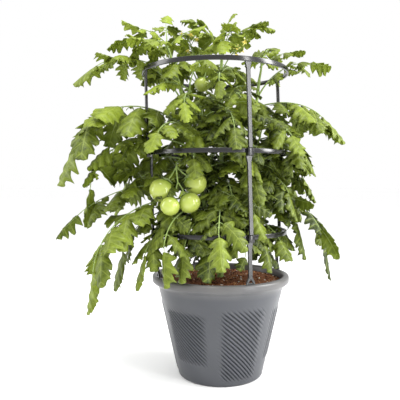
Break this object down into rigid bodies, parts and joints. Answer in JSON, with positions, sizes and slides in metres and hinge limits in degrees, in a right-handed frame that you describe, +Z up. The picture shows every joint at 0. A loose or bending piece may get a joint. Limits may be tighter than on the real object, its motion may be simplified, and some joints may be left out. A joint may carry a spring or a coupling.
{
  "type": "potted tomato plant",
  "caption": "Bushy patio tomato plant with green fruit and small flowers in a ribbed round plastic pot, held by a stacking cage of rings and stakes that rests on the rim.",
  "frame": {"origin": "centre of the pot's flat underside, on the ground plane", "axes": "+Z up along the pot's axis, -Y to the front with the fruit bunch, +X to the right seen from the front"},
  "size_m": [0.6246, 0.4852, 0.8112],
  "materials": {
    "pot_plastic": "satin blue-grey injection-moulded plastic",
    "potting_mix": "damp crumbly peat and bark",
    "cage_plastic": "black satin plastic",
    "stem_green": "pale green, finely hairy",
    "leaf_green": "mid green, soft sheen",
    "fruit_green": "smooth glossy skin",
    "flower_yellow": "thin matt petals"
  },
  "bodies": {
    "root": {"flower_spray_1": "flower_yellow", "flower_spray_2": "flower_yellow", "fruit_1": "fruit_green", "fruit_2": "fruit_green", "fruit_3": "fruit_green", "fruit_4": "fruit_green", "fruit_5": "fruit_green", "fruit_truss_1": "stem_green", "fruit_truss_2": "stem_green", "leaf_01": "leaf_green", "leaf_02": "leaf_green", "leaf_03": "leaf_green", "leaf_04": "leaf_green", "leaf_05": "leaf_green", "leaf_06": "leaf_green", "leaf_07": "leaf_green", "leaf_08": "leaf_green", "leaf_09": "leaf_green", "leaf_10": "leaf_green", "leaf_11": "leaf_green", "leaf_12": "leaf_green", "leaf_13": "leaf_green", "leaf_14": "leaf_green", "leaf_15": "leaf_green", "leaf_16": "leaf_green", "leaf_17": "leaf_green", "leaf_18": "leaf_green", "leaf_19": "leaf_green", "leaf_20": "leaf_green", "leaf_21": "leaf_green", "leaf_22": "leaf_green", "leaf_23": "leaf_green", "leaf_24": "leaf_green", "leaf_25": "leaf_green", "leaf_26": "leaf_green", "pot": "pot_plastic", "ring_lower": "cage_plastic", "ring_middle": "cage_plastic", "ring_top": "cage_plastic", "shoot_1": "leaf_green", "shoot_2": "leaf_green", "shoot_3": "leaf_green", "shoot_4": "leaf_green", "shoot_5": "leaf_green", "shoot_6": "leaf_green", "shoot_7": "leaf_green", "soil": "potting_mix", "stake_lower_1": "cage_plastic", "stake_lower_2": "cage_plastic", "stake_lower_3": "cage_plastic", "stake_lower_4": "cage_plastic", "stake_middle_1": "cage_plastic", "stake_middle_2": "cage_plastic", "stake_middle_3": "cage_plastic", "stake_middle_4": "cage_plastic", "stake_top_1": "cage_plastic", "stake_top_2": "cage_plastic", "stake_top_3": "cage_plastic", "stake_top_4": "cage_plastic", "stems": "stem_green"}
  },
  "joints": []
}
